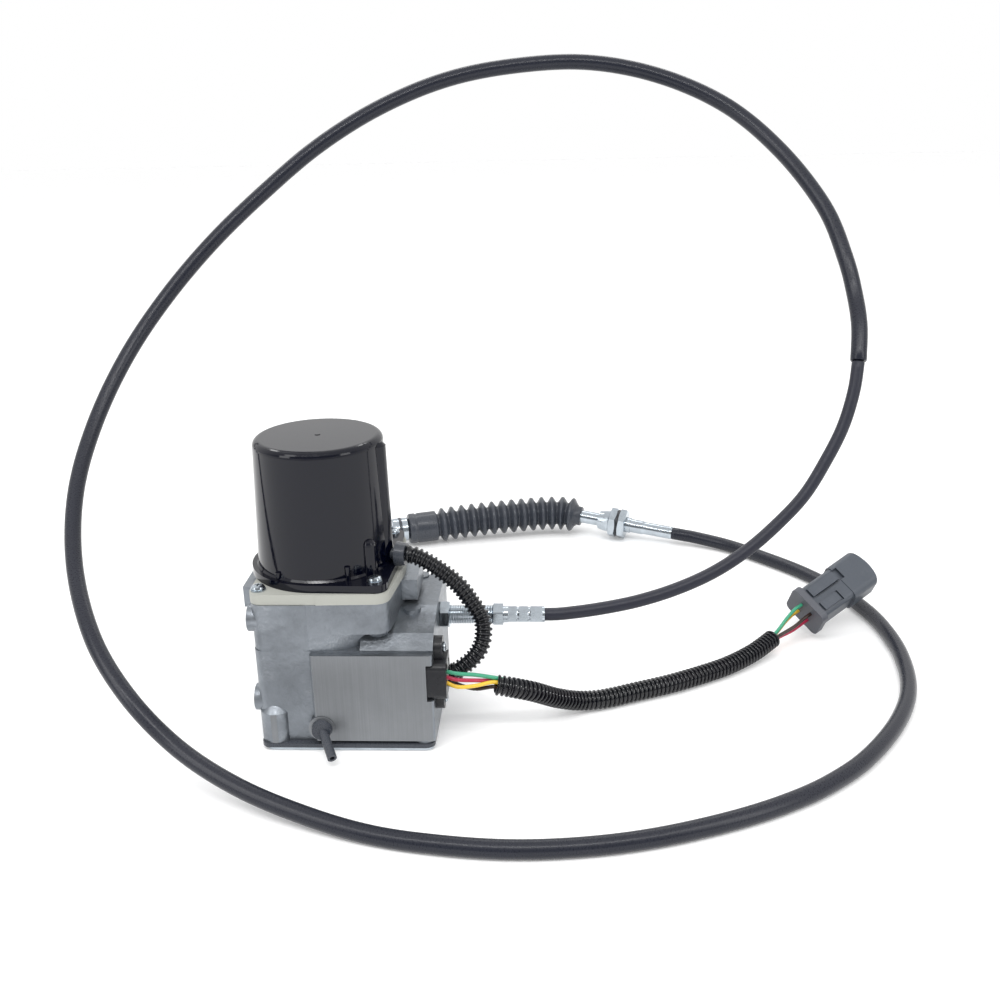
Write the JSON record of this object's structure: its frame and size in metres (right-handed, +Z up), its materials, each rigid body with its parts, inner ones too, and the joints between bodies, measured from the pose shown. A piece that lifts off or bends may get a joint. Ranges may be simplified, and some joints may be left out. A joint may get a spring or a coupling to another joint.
{
  "type": "throttle motor",
  "caption": "Electric throttle motor with a geared rack in a cast housing, a long push-pull cable with a bellows end, a position sensor and a wired plug.",
  "frame": {"origin": "on the floor, under the middle of the housing footprint", "axes": "+X to the side that the cable leaves from, +Y to the back, +Z up along the motor axis"},
  "size_m": [0.5465, 0.4739, 0.3907],
  "materials": {
    "cast_metal": "semi-matte die casting with a ground front pad",
    "zinc": "bright zinc plate",
    "steel": "machined",
    "cover_black": "gloss",
    "black_plastic": "satin",
    "black_rubber": "matte",
    "conduit_black": "gloss",
    "cable_black": "satin extruded jacket",
    "sleeve_black": "satin sleeve",
    "cream": "matte",
    "brass": "cut",
    "copper_winding": "enamelled",
    "magnet": "sintered",
    "phenolic": "matte",
    "potting": "matte",
    "wire_yellow": "extruded insulation",
    "wire_red": "extruded insulation",
    "wire_green": "extruded insulation",
    "wire_brown": "extruded insulation",
    "plug_grey": "satin",
    "seal_grey": "matte",
    "wedge_orange": "matte",
    "washer_dark": "black oxide"
  },
  "bodies": {
    "base": {"housing": "cast_metal", "bottom_gasket": "black_rubber", "bottom_cover": "zinc", "bottom_screws": "zinc", "spacer_plate": "cream", "spacer_screw": "zinc", "motor_cover": "cover_black", "cover_screws": "zinc", "conduit_gland": "black_rubber", "motor_case": "steel", "motor_magnets": "magnet", "motor_nose": "cast_metal", "brush_card": "phenolic", "bearing_plate": "zinc", "plate_screws": "steel", "bushes": "brass", "rack_guide": "brass", "sensor_body": "black_plastic", "sensor_potting": "potting", "sensor_screws": "zinc", "drain_grommet": "black_rubber", "drain_tube": "black_rubber", "near_locknut": "zinc", "near_fitting": "zinc", "near_ferrule": "zinc", "cable_near": "cable_black", "cable_sheath": "sleeve_black", "far_ferrule": "zinc", "far_hub": "zinc", "far_nuts": "zinc", "far_washer": "washer_dark", "swivel_tube": "zinc", "boot": "black_rubber", "flexible_core": "steel", "conduit_motor": "conduit_black", "wire_yellow": "wire_yellow", "wire_red": "wire_red", "wire_green": "wire_green", "wire_brown": "wire_brown", "conduit_harness": "conduit_black", "plug_body": "plug_grey", "plug_seal": "seal_grey", "plug_wedge": "wedge_orange", "plug_pins": "brass"},
    "rotor": {"armature": "copper_winding", "motor_pinion": "steel"},
    "drive": {"drive_gear": "brass", "drive_shaft": "steel"},
    "rack_body": {"rack": "steel", "core_rod": "steel"},
    "sector": {"sensor_sector": "brass", "sector_shaft": "steel", "sector_bevel": "brass"},
    "sensor_rotor": {"sensor_bevel": "brass", "sensor_shaft": "steel"},
    "cable_end": {"coupling": "zinc", "coupling_ring": "black_rubber", "clevis": "zinc"}
  },
  "joints": [
    {"name": "drive_turn", "type": "hinge", "parent": "base", "child": "drive", "pos_m": [0.00571, 0.016, 0.065], "axis": [0, 0, 1], "range_deg": [-96, 96]},
    {"name": "rotor_spin", "type": "hinge", "parent": "base", "child": "rotor", "pos_m": [-0.015, 0.002, 0.12], "axis": [0, 0, 1], "range_deg": [-384, 384]},
    {"name": "rack_slide", "type": "slide", "parent": "base", "child": "rack_body", "axis": [1, 0, 0], "range_m": [-0.015, 0.015]},
    {"name": "sector_turn", "type": "hinge", "parent": "base", "child": "sector", "pos_m": [-0.002, -0.035, 0.065], "axis": [0, 0, 1], "range_deg": [-27.5, 27.5]},
    {"name": "sensor_turn", "type": "hinge", "parent": "base", "child": "sensor_rotor", "pos_m": [0.02, -0.035, 0.045], "axis": [1, 0, 0], "range_deg": [-27.5, 27.5]},
    {"name": "end_slide", "type": "slide", "parent": "base", "child": "cable_end", "axis": [-0.9591, -0.283, 0], "range_m": [-0.015, 0.015], "deforming": ["boot", "flexible_core"]}
  ],
  "couplings": [
    {"joint": "rotor_spin", "follows": "rack_slide", "rad_per_m": -444.44},
    {"joint": "drive_turn", "follows": "rack_slide", "rad_per_m": 111.11},
    {"joint": "sector_turn", "follows": "rack_slide", "rad_per_m": -31.25},
    {"joint": "sensor_turn", "follows": "rack_slide", "rad_per_m": 31.25},
    {"joint": "end_slide", "follows": "rack_slide", "ratio": 1}
  ]
}
